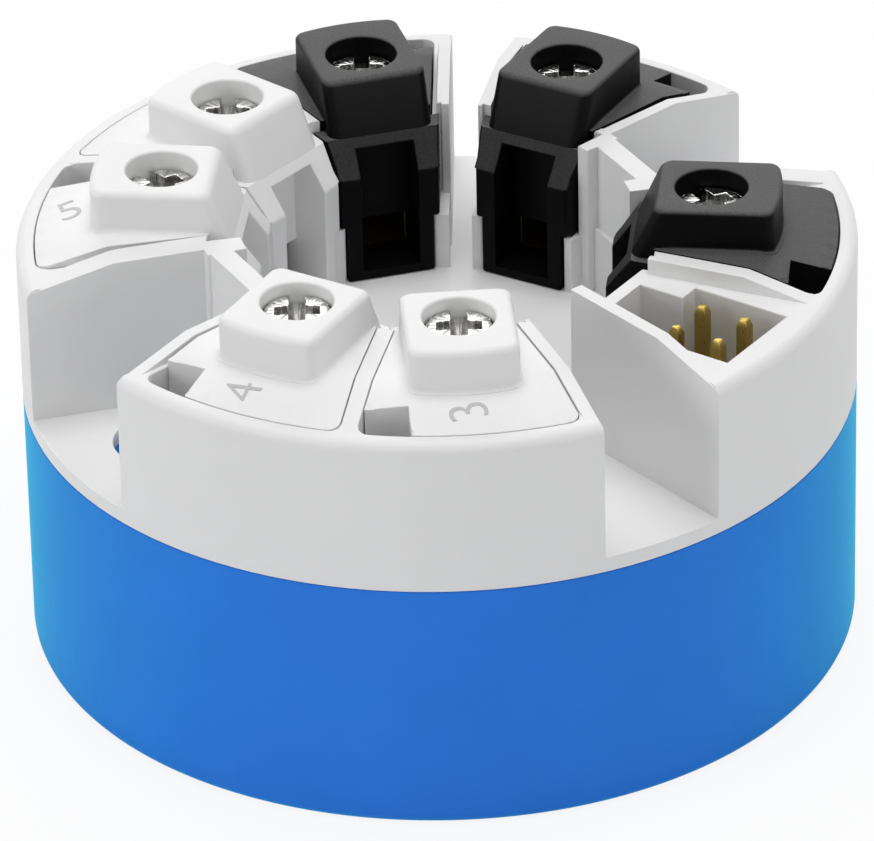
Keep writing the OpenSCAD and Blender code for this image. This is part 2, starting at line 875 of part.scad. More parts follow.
// The white housing: floor, skirt, blocks and walls, less the pockets and holes
module top_housing() {
    color(white)
        difference() {
            union() {
                intersection() {
                    housing_limits();
                    union() {
                        translate([0, 0, cup_h])
                            cylinder(r = body_r + over, h = floor_t);
                        block_rings();
                        side_walls();
                        gap_bands();
                        translate([0, 0, root_z])
                            linear_extrude(rim_z - root_z)
                                socket_block_outline();
                    }
                }
                ring(cup_in_r - fit_gap - skirt_t, cup_in_r - fit_gap, cup_h - skirt_h, root_z);
            }
            for (i = [1 : len(terminal_angles)])
                rotate([0, 0, terminal_angles[i - 1]]) {
                    insert_pocket();
                    translate([leg_r, 0, floor_z])
                        cube([leg_w + 2 * leg_gap, leg_w + 2 * leg_gap, 2 * floor_t + over], center = true);
                }
            translate([0, 0, cup_h - over])
                linear_extrude(block_h + floor_t + 2 * over)
                    socket_pocket();
            for (x = [-mount_x, mount_x])
                translate([x, 0, cup_h - over])
                    cylinder(d = mount_hole_d, h = floor_t + 2 * over);
            for (x = [-mount_x, mount_x])
                translate([x, 0, cup_h - skirt_h - over])
                    cylinder(r = tube_r + board_gap, h = skirt_h + over);
            translate([0, 0, cup_h - over])
                cylinder(d = center_hole_d, h = floor_t + 2 * over);
        }
}

base_cup();
resin_filling();
main_board();
microcontroller();
isolation_transformer();
signal_converter();
output_driver();
memory_chip();
inductor();
capacitor_1();
capacitor_2();
voltage_reference();
crystal();
pin_header_base();
service_pin(1, 1);  // service_pin_1
service_pin(1, -1);  // service_pin_2
service_pin(-1, -1);  // service_pin_3
service_pin(-1, 1);  // service_pin_4
top_housing();
for (i = [1 : len(terminal_angles)]) {
    insert(i);
    contact_frame(i);
    clamp_plate(i);
    terminal_screw(i);
}
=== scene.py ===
import json
import math

import bmesh
import bpy
from mathutils import Matrix, Vector
from mathutils.bvhtree import BVHTree
from mathutils.kdtree import KDTree


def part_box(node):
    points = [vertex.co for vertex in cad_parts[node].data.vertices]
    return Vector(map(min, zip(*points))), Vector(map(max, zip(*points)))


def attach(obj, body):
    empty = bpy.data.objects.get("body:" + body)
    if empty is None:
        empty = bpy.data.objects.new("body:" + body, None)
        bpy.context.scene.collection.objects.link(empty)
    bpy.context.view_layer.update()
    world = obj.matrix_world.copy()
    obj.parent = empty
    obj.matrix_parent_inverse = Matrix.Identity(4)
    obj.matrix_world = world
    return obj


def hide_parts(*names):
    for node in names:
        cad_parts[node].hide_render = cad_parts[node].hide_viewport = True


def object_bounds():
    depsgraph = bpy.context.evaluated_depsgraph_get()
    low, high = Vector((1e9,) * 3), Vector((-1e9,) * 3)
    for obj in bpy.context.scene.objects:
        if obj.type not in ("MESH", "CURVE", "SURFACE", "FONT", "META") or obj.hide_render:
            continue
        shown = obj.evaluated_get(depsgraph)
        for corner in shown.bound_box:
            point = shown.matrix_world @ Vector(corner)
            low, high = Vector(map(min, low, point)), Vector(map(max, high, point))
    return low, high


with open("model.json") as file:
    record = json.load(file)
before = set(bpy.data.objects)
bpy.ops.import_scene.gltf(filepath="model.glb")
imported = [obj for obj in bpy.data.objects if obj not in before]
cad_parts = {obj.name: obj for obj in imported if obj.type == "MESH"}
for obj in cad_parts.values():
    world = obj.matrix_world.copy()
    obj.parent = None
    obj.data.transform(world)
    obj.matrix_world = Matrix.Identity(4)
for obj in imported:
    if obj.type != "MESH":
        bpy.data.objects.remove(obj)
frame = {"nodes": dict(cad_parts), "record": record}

CAD_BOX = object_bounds()
MM = 0.001
NODES = frame["nodes"]
BODY_OF = {n: b for b, names in frame["record"]["behaviour"]["bodies"].items() for n in names}

# Camera, fitted to the photograph's circles and upright edges
CAMERA_TURN = -28.3
CAMERA_BACK = 374.67
CAMERA_UP = 234.43
CAMERA_YAW = -0.03
CAMERA_PITCH = 30.80
CAMERA_ROLL = -1.25
FOCAL_PIXELS = 8232.6
PHOTO_WIDTH = 874
SENSOR = 36.0
NEAREST, FARTHEST_SEEN = 0.01, 10

# Terminals: angle about the axis in degrees, and which inserts are white
TERMINAL_ANGLES = {1: 32.0, 2: -34.5, 3: -114.2, 4: -148.2, 5: 145.2, 6: 111.2, 7: 77.2}
WHITE_INSERTS = (3, 4, 5, 6)
SCREW_CIRCLE = 14.4


def camera_axes():
    """Right, up and forward of the camera in the part's frame."""
    yaw, pitch, roll = (math.radians(a) for a in (CAMERA_YAW, CAMERA_PITCH, CAMERA_ROLL))
    flat = math.cos(pitch)
    forward = Vector((math.sin(yaw) * flat, math.cos(yaw) * flat, -math.sin(pitch)))
    level = Vector((math.cos(yaw), -math.sin(yaw), 0))
    upright = level.cross(forward)
    right = level * math.cos(roll) + upright * math.sin(roll)
    up = upright * math.cos(roll) - level * math.sin(roll)
    turn = Matrix.Rotation(math.radians(CAMERA_TURN), 3, "Z")
    return turn @ right, turn @ up, turn @ forward


def add_camera():
    right, up, forward = camera_axes()
    data = bpy.data.cameras.new("camera")
    data.sensor_fit = "HORIZONTAL"
    data.sensor_width = SENSOR
    data.lens = FOCAL_PIXELS * SENSOR / PHOTO_WIDTH
    data.clip_start, data.clip_end = NEAREST, FARTHEST_SEEN
    camera = bpy.data.objects.new("camera", data)
    bpy.context.scene.collection.objects.link(camera)
    turn = Matrix.Rotation(math.radians(CAMERA_TURN), 3, "Z")
    place = turn @ Vector((0, -CAMERA_BACK, CAMERA_UP)) * MM
    rows = Matrix((right, up, -forward)).transposed().to_4x4()
    camera.matrix_world = Matrix.Translation(place) @ rows
    bpy.context.scene.camera = camera


# Materials

WHITE = (0.83, 0.83, 0.83)
BLUE = (0.034, 0.198, 0.80)
SHEEN = (0.05, 0.78, 0.72)
# Dark inserts: a near-black for the sides, pushed darker as painted shade in the sides and wire
# windows, and a paler grey for up-facing tops, which is a painted sheen
BLACK_AND_PAINTED_SHADE = (0.003, 0.003, 0.0033)
DARK_TOP_PAINTED_SHEEN = (0.093, 0.093, 0.095)
NUMBER_GREY = (0.50, 0.50, 0.51)
# Screw heads: the dark and the bright colour of their radial streaks, a painted dark reflection and
# a painted glint
SCREW_PAINTED_REFLECTION = (0.42, 0.42, 0.41)
SCREW_PAINTED_GLINT = (0.93, 0.92, 0.90)

# Moulded plastic: size in mm of its slow changes of tone, how far its roughness swings, and how
# strongly its grain is pressed in
CLOUD_SIZE = 5.0
ROUGH_SWING = 0.05
GRAIN_STRENGTH = 0.6
# Dark inserts: height in mm above which their up-facing surfaces take the painted sheen, and the
# contrast of their grain
PAINTED_SHEEN_ABOVE = 20.6
GRAIN_CONTRAST = 0.20
# Metal: size in mm of its clouds, its scratches and the screws' fine marks
METAL_CLOUD = 0.8
SCRATCH_SIZE = 0.25
SCREW_MARK = 0.12


def blank(name):
    """A new material with its node tree and its one shader."""
    material = bpy.data.materials.new(name)
    material.use_nodes = True
    tree = material.node_tree
    tree.nodes.clear()
    out = tree.nodes.new("ShaderNodeOutputMaterial")
    shader = tree.nodes.new("ShaderNodeBsdfPrincipled")
    tree.links.new(shader.outputs["BSDF"], out.inputs["Surface"])
    return material, tree, shader


def place_node(tree):
    return tree.nodes.new("ShaderNodeTexCoord").outputs["Object"]


def noise(tree, place, size, detail=2.0, stretch=None):
    """Noise whose lumps are about size mm across, from 0 to 1."""
    if stretch is not None:
        mapping = tree.nodes.new("ShaderNodeMapping")
        mapping.inputs["Scale"].default_value = stretch
        tree.links.new(place, mapping.inputs["Vector"])
        place = mapping.outputs["Vector"]
    node = tree.nodes.new("ShaderNodeTexNoise")
    node.inputs["Scale"].default_value = 1 / (size * MM)
    node.inputs["Detail"].default_value = detail
    tree.links.new(place, node.inputs["Vector"])
    return node.outputs["Fac"]


def ranged(tree, value, low, high, start=0.3, end=0.7):
    """A value that goes from low to high while the given one goes from start to end."""
    node = tree.nodes.new("ShaderNodeMapRange")
    node.inputs["From Min"].default_value = start
    node.inputs["From Max"].default_value = end
    node.inputs["To Min"].default_value = low
    node.inputs["To Max"].default_value = high
    tree.links.new(value, node.inputs["Value"])
    return node.outputs["Result"]


def mixed(tree, value, first, second):
    """A colour that goes from the first to the second while the value goes from 0 to 1."""
    node = tree.nodes.new("ShaderNodeMix")
    node.data_type = "RGBA"
    node.inputs["A"].default_value = (*first, 1)
    node.inputs["B"].default_value = (*second, 1)
    tree.links.new(value, node.inputs["Factor"])
    return node.outputs["Result"]


def bumped(tree, shader, height, strength, distance):
    node = tree.nodes.new("ShaderNodeBump")
    node.inputs["Strength"].default_value = strength
    node.inputs["Distance"].default_value = distance * MM
    tree.links.new(height, node.inputs["Height"])
    tree.links.new(node.outputs["Normal"], shader.inputs["Normal"])


def shade(colour, factor):
    return tuple(min(1.0, c * factor) for c in colour)


def moulded(name, colour, rough, grain, depth, spread=0.04, specular=0.5):
    """Moulded plastic: slow changes of tone, and a fine eroded grain that the roughness follows."""
    material, tree, shader = blank(name)
    place = place_node(tree)
    cloudy = noise(tree, place, CLOUD_SIZE, 3.0)
    tone = ranged(tree, cloudy, 0, 1)
    tree.links.new(mixed(tree, tone, shade(colour, 1 - spread), shade(colour, 1 + spread)),
                   shader.inputs["Base Color"])
    fine = noise(tree, place, grain, 3.0)
    tree.links.new(ranged(tree, fine, rough - ROUGH_SWING, rough + ROUGH_SWING),
                   shader.inputs["Roughness"])
    shader.inputs["Specular IOR Level"].default_value = specular
    bumped(tree, shader, fine, GRAIN_STRENGTH, depth)
    return material


def top_share(tree, height):
    """Mask of the painted sheen: 1 where a surface above this height in mm faces up in the part's
    own frame, 0 elsewhere.
    """
    place = tree.nodes.new("ShaderNodeTexCoord")
    shares = []
    for output, low, high in (("Normal", 0.4, 0.9), ("Object", height * MM, (height + 0.2) * MM)):
        split = tree.nodes.new("ShaderNodeSeparateXYZ")
        tree.links.new(place.outputs[output], split.inputs["Vector"])
        shares.append(ranged(tree, split.outputs["Z"], 0, 1, low, high))
    both = tree.nodes.new("ShaderNodeMath")
    both.operation = "MULTIPLY"
    for k, share in enumerate(shares):
        tree.links.new(share, both.inputs[k])
    return both.outputs[0]


def grained_top(name, side, top, rough, grain, depth, specular):
    """Dark moulded plastic: smooth near-black sides, darkened as painted shade, and a paler top
    with an eroded grain, its paleness a painted sheen.
    """
    material, tree, shader = blank(name)
    place = place_node(tree)
    fine = noise(tree, place, grain, 3.0)
    speckled = mixed(tree, ranged(tree, fine, 0, 1),
                     shade(top, 1 - GRAIN_CONTRAST), shade(top, 1 + GRAIN_CONTRAST))
    # Painted sheen on the up-facing tops, painted shade on the sides
    mix = tree.nodes.new("ShaderNodeMix")
    mix.data_type = "RGBA"
    tree.links.new(top_share(tree, PAINTED_SHEEN_ABOVE), mix.inputs["Factor"])
    mix.inputs["A"].default_value = (*side, 1)
    tree.links.new(speckled, mix.inputs["B"])
    tree.links.new(mix.outputs["Result"], shader.inputs["Base Color"])
    tree.links.new(ranged(tree, fine, rough - ROUGH_SWING, rough + ROUGH_SWING),
                   shader.inputs["Roughness"])
    shader.inputs["Specular IOR Level"].default_value = specular
    bumped(tree, shader, fine, GRAIN_STRENGTH, depth)
    return material


def metal(name, colour, rough, stretch=None, scratch=0.004, spread=0.08):
    """Plated or rolled metal: cloudy tone, fine scratches."""
    material, tree, shader = blank(name)
    place = place_node(tree)
    tone = ranged(tree, noise(tree, place, METAL_CLOUD, 4.0), 0, 1)
    tree.links.new(mixed(tree, tone, shade(colour, 1 - spread), shade(colour, 1 + spread)),
                   shader.inputs["Base Color"])
    shader.inputs["Metallic"].default_value = 1.0
    lines = noise(tree, place, SCRATCH_SIZE, 4.0, stretch)
    tree.links.new(ranged(tree, lines, rough - 0.06, rough + 0.1), shader.inputs["Roughness"])
    bumped(tree, shader, lines, 0.5, scratch)
    return material


def screw_metal():
    """Bright plated screw with marks that run out from the middle of its head: real marks in its
    bump, painted dark reflections and painted glints in its colour.
    """
    material, tree, shader = blank("nickel_screw")
    place = tree.nodes.new("ShaderNodeTexCoord")
    centred = tree.nodes.new("ShaderNodeVectorMath")
    centred.operation = "SUBTRACT"
    centred.inputs[1].default_value = (0.5, 0.5, 0)
    tree.links.new(place.outputs["Generated"], centred.inputs[0])
    split = tree.nodes.new("ShaderNodeSeparateXYZ")
    tree.links.new(centred.outputs[0], split.inputs["Vector"])
    angle = tree.nodes.new("ShaderNodeMath")
    angle.operation = "ARCTAN2"
    tree.links.new(split.outputs["Y"], angle.inputs[0])
    tree.links.new(split.outputs["X"], angle.inputs[1])
    rays = tree.nodes.new("ShaderNodeTexNoise")
    rays.noise_dimensions = "1D"
    rays.inputs["Scale"].default_value = 4.0
    rays.inputs["Detail"].default_value = 3.0
    tree.links.new(angle.outputs[0], rays.inputs["W"])
    streak_and_glint = rays.outputs["Fac"]
    # The streaks paint dark reflections and bright glints into the metal's colour
    tone = ranged(tree, streak_and_glint, 0, 1, 0.40, 0.60)
    tree.links.new(mixed(tree, tone, SCREW_PAINTED_REFLECTION, SCREW_PAINTED_GLINT), shader.inputs["Base Color"])
    shader.inputs["Metallic"].default_value = 1.0
    fine = noise(tree, place.outputs["Object"], SCREW_MARK, 3.0)
    tree.links.new(ranged(tree, fine, 0.10, 0.26), shader.inputs["Roughness"])
    bumped(tree, shader, streak_and_glint, 1.0, 0.10)
    return material


def board_material():
    """Solder mask over copper tracks."""
    material, tree, shader = blank("board_green")
    place = place_node(tree)
    tracks = tree.nodes.new("ShaderNodeTexBrick")
    tracks.inputs["Color1"].default_value = (0.02, 0.16, 0.05, 1)
    tracks.inputs["Color2"].default_value = (0.02, 0.19, 0.06, 1)
    tracks.inputs["Mortar"].default_value = (0.01, 0.09, 0.03, 1)
    tracks.inputs["Scale"].default_value = 400
    tracks.inputs["Mortar Size"].default_value = 0.08
    tree.links.new(place, tracks.inputs["Vector"])
    tree.links.new(tracks.outputs["Color"], shader.inputs["Base Color"])
    tree.links.new(ranged(tree, noise(tree, place, 0.6), 0.3, 0.45), shader.inputs["Roughness"])
    bumped(tree, shader, tracks.outputs["Fac"], 0.4, 0.02)
    return material


def sheeny(material):
    """The brighter cyan tone that the blue plastic takes on where it turns away."""
    shader = next(n for n in material.node_tree.nodes if n.type == "BSDF_PRINCIPLED")
    shader.inputs["Sheen Weight"].default_value = 0.8
    shader.inputs["Sheen Roughness"].default_value = 0.5
    shader.inputs["Sheen Tint"].default_value = (*SHEEN, 1)
    return material


def make_materials():
    """The finish of every material slot."""
    return {
        "blue_plastic": sheeny(moulded("blue_plastic", BLUE, 0.50, 0.25, 0.004, 0.03, 0.02)),
        "white_plastic": moulded("white_plastic", WHITE, 0.50, 0.22, 0.004, 0.01, 0.35),
        "white_insert": moulded("white_insert", shade(WHITE, 1.01), 0.46, 0.20, 0.004, 0.01, 0.35),
        "dark_insert": grained_top("dark_insert", BLACK_AND_PAINTED_SHADE, DARK_TOP_PAINTED_SHEEN, 0.40, 0.12, 0.016, 0.06),
        "nickel_screw": screw_metal(),
        "clamp_steel": metal("clamp_steel", (0.62, 0.62, 0.60), 0.30, (1, 1, 6)),
        "brass_frame": metal("brass_frame", (0.16, 0.12, 0.06), 0.42, (1, 1, 6)),
        "gold_pin": metal("gold_pin", (0.50, 0.37, 0.10), 0.28, (1, 1, 0.2)),
        "resin": moulded("resin", (0.05, 0.05, 0.055), 0.30, 0.8, 0.02, 0.12),
        "board": board_material(),
        "chip_black": moulded("chip_black", (0.018, 0.018, 0.018), 0.55, 0.08, 0.01, 0.1),
        "header_black": moulded("header_black", (0.02, 0.02, 0.02), 0.5, 0.1, 0.008, 0.1),
        "transformer": moulded("transformer", (0.03, 0.028, 0.025), 0.4, 0.12, 0.01, 0.15),
        "ferrite": moulded("ferrite", (0.06, 0.055, 0.05), 0.65, 0.1, 0.02, 0.15),
        "can_metal": metal("can_metal", (0.70, 0.70, 0.70), 0.28, (6, 1, 1)),
    }


# Material slots by the start of a node's name. Every other node is a black chip.
SLOTS = {
    "base_cup": "blue_plastic",
    "top_housing": "white_plastic",
    "terminal_screw_": "nickel_screw",
    "clamp_plate_": "clamp_steel",
    "contact_frame_": "brass_frame",
    "service_pin_": "gold_pin",
    "capacitor_": "can_metal",
    "crystal": "can_metal",
    "resin_filling": "resin",
    "main_board": "board",
    "pin_header_base": "header_black",
    "isolation_transformer": "transformer",
    "inductor": "ferrite",
}


def slot_of(node):
    """The material slot of a node."""
    if node.startswith("insert_"):
        return "white_insert" if int(node[-1]) in WHITE_INSERTS else "dark_insert"
    return next((slot for start, slot in SLOTS.items() if node.startswith(start)), "chip_black")


# Rounded copies of the solids. Mesh work is done in mm, because Blender's tools have fixed small
# limits.

# Edges sharper than this are rounded, faces flatter than this are merged, and edges sharper than
# SMOOTH show as a hard line
SHARP = math.radians(28)
FLAT = math.radians(0.1)
SMOOTH = math.radians(40)
WELD = 0.0005
WEIGHT = "bevel_weight_edge"
# The faces beside an edge reach this many widths before it is rounded
ROOM = 1.5
# How far a rounded mesh may leave the old surface, as a share of the plain and of the widest width
MISFIT_SHARE = 0.55
ARC_SHARE = 0.45
# Repair of misfits: the number of tries, the reach round a misfit at which they end, in widths, how
# much the reach grows, and the weight from which down an edge loses its rounding
ROUNDING_TRIES = 24
FARTHEST = 3.5
NEAR_GROWTH = 1.5
LEAST_WEIGHT = 0.3
# Faces smaller than this aren't looked at, and this is the least agreement with the old surface
TINY_AREA = 1e-5
TURNED = 0.3
# The cup's lower edge lies below this height and is rounded by a cut
CUP_EDGE_TOP = 1.0
# Widths of the roundings by node, then of a flange's edge and of a screw head's rim
ROUND = {"base_cup": 0.1, "top_housing": 0.1, "insert": 0.14, "terminal_screw": 0.07,
         "clamp_plate": 0.08, "contact_frame": 0.06, "service_pin": 0.04}
FLANGE_ROUND = 0.04
HEAD_RIM_ROUND = 0.22
PIN_COUNT = 4

# Screw head: its radius, where its rim begins, the height of its rounded edge, how far its rim lies
# under its middle, and the slack with which its top is told
HEAD_R = 1.8
HEAD_RIM_IN = 1.6
HEAD_EDGE = 0.24
HEAD_DOME = 0.14
HEAD_SLACK = 0.02

# Raised cap: half its width, the radius and place of its bulging outer side, its leaning inner side
# (foot, foot height, top), its corners, the rounding of its top (by whether the insert is white)
# and of its foot, how far it is sunk, its hole, and the points along each stretch
CAP_HALF_W = 2.85
CAP_BULGE = 11.0
CAP_OUT = 18.1
CAP_FOOT_IN = 10.4
CAP_FOOT_Z = 23.0
CAP_TOP_IN = 11.65
CAP_CORNER = 0.65
CAP_TOP_ROUND = {True: 0.38, False: 0.27}
CAP_FOOT_ROUND = 0.2
CAP_SINK = 0.008
CAP_HOLE_R = 1.9
CAP_HOLE_ROUND = 0.14
CAP_STEPS = 8
# How far a cap's hole starts under the flange and how far the cap runs down into its insert
CAP_HOLE_UNDER = 0.1
CAP_SKIRT = 0.3

# The flanges and side walls: their height, where they begin to fall and where they meet the rim,
# where the flanges start, and how far a cut stays above them
RIDGE_Z = 23.63
RIDGE_BEND = 17.3
RIDGE_END = 21.0
FLANGE_IN = 11.6
FLANGE_CLEAR = 0.01
# Points along a cap's side and across its inner side, the last as shares of half its width
CAP_SIDE_X = (16.8, 16, 15, 14, 13, 12.5, 12.2, 11.9, FLANGE_IN + 0.05, FLANGE_IN - 0.05)
CAP_INNER_SHARES = (0.75, 0.5, 0.25, 0)

# The disc's radius, the height of its rim, the rounding of its outer edges, its steps, how far the
# cut stays clear, and the steps round the disc
DISC_R = 22.0
RIM_Z = 22.73
EDGE_ROUND = 0.6
EDGE_STEPS = 6
EDGE_CLEAR = 0.002
DISC_STEPS = 262


def clean_mesh(node):
    """A copy of a node's mesh in mm, welded, with flat faces merged."""
    bm = bmesh.new()
    bm.from_mesh(NODES[node].data)
    bmesh.ops.transform(bm, matrix=Matrix.Scale(1 / MM, 4), verts=bm.verts)
    bmesh.ops.remove_doubles(bm, verts=bm.verts, dist=WELD)
    bmesh.ops.dissolve_degenerate(bm, dist=WELD, edges=bm.edges)
    bmesh.ops.dissolve_limit(bm, angle_limit=FLAT, verts=bm.verts, edges=bm.edges)
    return bm


def reach(face, edge):
    """How far a face reaches away from one of its edges."""
    a, b = (v.co for v in edge.verts)
    along = (b - a).normalized()
    return max(((v.co - a) - along * (v.co - a).dot(along)).length for v in face.verts)


def weigh_edges(bm, width, special):
    """Gives each edge with room for it the share of the widest rounding that it takes: convex edges
    the plain width, and those that a special test names their own."""
    layer = bm.edges.layers.float.new(WEIGHT)
    widest = max([width] + [w for _, w in special])
    for edge in bm.edges:
        if len(edge.link_faces) != 2 or edge.calc_face_angle(0) < SHARP:
            continue
        middle = (edge.verts[0].co + edge.verts[1].co) / 2
        own = width if edge.is_convex else 0
        for test, wide in special:
            if test(edge, middle):
                own = wide
        if own and min(reach(f, edge) for f in edge.link_faces) > ROOM * own:
            edge[layer] = own / widest
    return widest


def bevelled(bm, width, segments):
    """The mesh with its weighted edges rounded."""
    trial = new_object("trial", bm.copy())
    bevel = trial.modifiers.new("round", "BEVEL")
    bevel.limit_method = "WEIGHT"
    bevel.width = width
    bevel.segments = segments
    bevel.use_clamp_overlap = False
    bevel.miter_outer = "MITER_SHARP"
    apply_modifiers(trial)
    mesh = trial.data
    bpy.data.objects.remove(trial)
    return mesh


def misfits(mesh, tree, limit):
    """Places where a rounded mesh left the old surface or turned over."""
    places = [v.co.copy() for v in mesh.vertices if tree.find_nearest(v.co)[3] > limit]
    bm = bmesh.new()
    bm.from_mesh(mesh)
    bmesh.ops.triangulate(bm, faces=bm.faces)
    for face in bm.faces:
        if face.calc_area() > TINY_AREA:
            _, normal, _, gap = tree.find_nearest(face.calc_center_median())
            if gap > limit or normal.dot(face.normal) < TURNED:
                places += [v.co.copy() for v in face.verts]
    bm.free()
    return places


def round_edges(bm, width, limit, segments):
    """Rounds the weighted edges, and gives less and then nothing to those beside a misfit."""
    layer = bm.edges.layers.float[WEIGHT]
    flat = bm.copy()
    bmesh.ops.triangulate(flat, faces=flat.faces)
    tree = BVHTree.FromBMesh(flat)
    flat.free()
    near = limit / MISFIT_SHARE
    for _ in range(ROUNDING_TRIES):
        mesh = bevelled(bm, width, segments)
        places = misfits(mesh, tree, limit)
        if not places or near > FARTHEST * width:
            break
        lookup = KDTree(len(places))
        for k, place in enumerate(places):
            lookup.insert(place, k)
        lookup.balance()
        changed = False
        for edge in bm.edges:
            if edge[layer] > 0 and min(lookup.find(v.co)[2] for v in edge.verts) < near:
                edge[layer] = edge[layer] / 2 if edge[layer] > LEAST_WEIGHT else 0
                changed = True
        if not changed:
            near *= NEAR_GROWTH
    return mesh


def cut_by(piece, tool):
    """Takes the tool's shape out of a piece, and the tool away."""
    boolean = piece.modifiers.new("cut", "BOOLEAN")
    boolean.operation = "DIFFERENCE"
    boolean.solver = "EXACT"
    boolean.object = tool
    apply_modifiers(piece)
    bpy.data.objects.remove(tool)


def rounded(node, width, special=(), segments=2, cut=None, keep=None, bend=None):
    """A copy of a node with rounded edges that rides with it and stands for it. A cut is a tool
    that is taken out first, edges for which keep is true stay as they are, and bend moves the
    points of the finished mesh."""
    piece = new_object(node + "_shown", clean_mesh(node))
    if cut is not None:
        cut_by(piece, cut)
    bm = bmesh.new()
    bm.from_mesh(piece.data)
    widest = weigh_edges(bm, width, list(special))
    if keep is not None:
        for edge in bm.edges:
            if keep((edge.verts[0].co + edge.verts[1].co) / 2):
                edge[bm.edges.layers.float[WEIGHT]] = 0
    old = piece.data
    limit = max(MISFIT_SHARE * width, ARC_SHARE * widest)
    piece.data = round_edges(bm, widest, limit, segments)
    piece.data.name = piece.name
    bpy.data.meshes.remove(old)
    bm.free()
    if bend is not None:
        for v in piece.data.vertices:
            v.co = bend(v.co)
    finish_piece(piece, node)
    return piece


def new_object(name, bm):
    """A new object with this mesh, which is used up."""
    mesh = bpy.data.meshes.new(name)
    bm.to_mesh(mesh)
    bm.free()
    piece = bpy.data.objects.new(name, mesh)
    bpy.context.scene.collection.objects.link(piece)
    return piece


def apply_modifiers(piece):
    """Puts the result of a piece's modifiers into its mesh."""
    bpy.context.view_layer.update()
    graph = bpy.context.evaluated_depsgraph_get()
    mesh = bpy.data.meshes.new_from_object(piece.evaluated_get(graph))
    piece.modifiers.clear()
    old = piece.data
    piece.data = mesh
    bpy.data.meshes.remove(old)
    mesh.name = piece.name


def soften(mesh, angle):
    """Smooth faces, with a hard line only where two faces meet at more than the angle."""
    bm = bmesh.new()
    bm.from_mesh(mesh)
    for face in bm.faces:
        face.smooth = True
    for edge in bm.edges:
        edge.smooth = len(edge.link_faces) == 2 and edge.calc_face_angle(0) < angle
    bm.to_mesh(mesh)
    bm.free()


def finish_piece(piece, node):
    """Back to metres, shaded, with its material, riding in place of its node."""
    piece.data.transform(Matrix.Scale(MM, 4))
    soften(piece.data, SMOOTH)
    weighted = piece.modifiers.new("flat_faces", "WEIGHTED_NORMAL")
    weighted.keep_sharp = True
    piece.data.materials.clear()
    piece.data.materials.append(MATERIALS[slot_of(node)])
    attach(piece, BODY_OF[node])
    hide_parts(node)


def lofted(rings):
    """A closed mesh through rings with the same number of points, the last joined to the first."""
    bm = bmesh.new()
    loops = [[bm.verts.new(point) for point in ring] for ring in rings]
    for a, b in zip(loops, loops[1:] + loops[:1]):
        for k in range(len(a)):
            n = (k + 1) % len(a)
            bm.faces.new((a[k], a[n], b[n], b[k]))
    bmesh.ops.recalc_face_normals(bm, faces=bm.faces)
    return bm


def ring_tool(profile):
    """A ring that is cut out of a piece: a closed profile of radius and height, turned round the
    disc's axis."""
    turns = [2 * math.pi * k / DISC_STEPS for k in range(DISC_STEPS)]
    return new_object("ring_tool", lofted(
        [[(radius * math.cos(a), radius * math.sin(a), height) for a in turns]
         for radius, height in profile]))


def edge_tool(z, upwards):
    """Rounds the disc's outer edge at height z, whose body lies on the other side of upwards."""
    way = 1 if upwards else -1
    profile = []
    for k in range(EDGE_STEPS + 1):
        a = math.pi / 2 * k / EDGE_STEPS
        profile.append((DISC_R - EDGE_ROUND * (1 - math.sin(a)),
                        z - way * EDGE_ROUND * (1 - math.cos(a))))
    profile[0] = (profile[0][0], z + way * EDGE_CLEAR)
    profile[-1] = (DISC_R + EDGE_CLEAR, profile[-1][1])
    profile += [(DISC_R + 1, profile[-1][1]), (DISC_R + 1, z + way * 2),
                (DISC_R - EDGE_ROUND, z + way * 2)]
    return ring_tool(profile)


def top_of(node):
    """The height of a node's top in mm."""
    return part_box(node)[1].z / MM


def terminal_axes(i):
    """Where terminal i is: its screw centre, its outward and its counterclockwise direction."""
    a = math.radians(TERMINAL_ANGLES[i])
    out = Vector((math.cos(a), math.sin(a), 0))
    return out * SCREW_CIRCLE, out, Vector((-out.y, out.x, 0))


# Numbers on the flanges: distance from the axis, sideways place, lean in degrees and height, in mm
NUMBERS = {3: (19.44, 0.0, 13, 2.0), 4: (19.6, -0.27, 9, 1.9), 5: (19.38, 0.05, 22, 2.0),
           6: (18.9, 0.1, 14, 2.0)}
NUMBER_RAISE = 0.03
# How thick the text is made, which only has to tell its two sides apart, and how much thinner its
# strokes are
NUMBER_DEPTH = 0.5
NUMBER_THINNER = -0.012


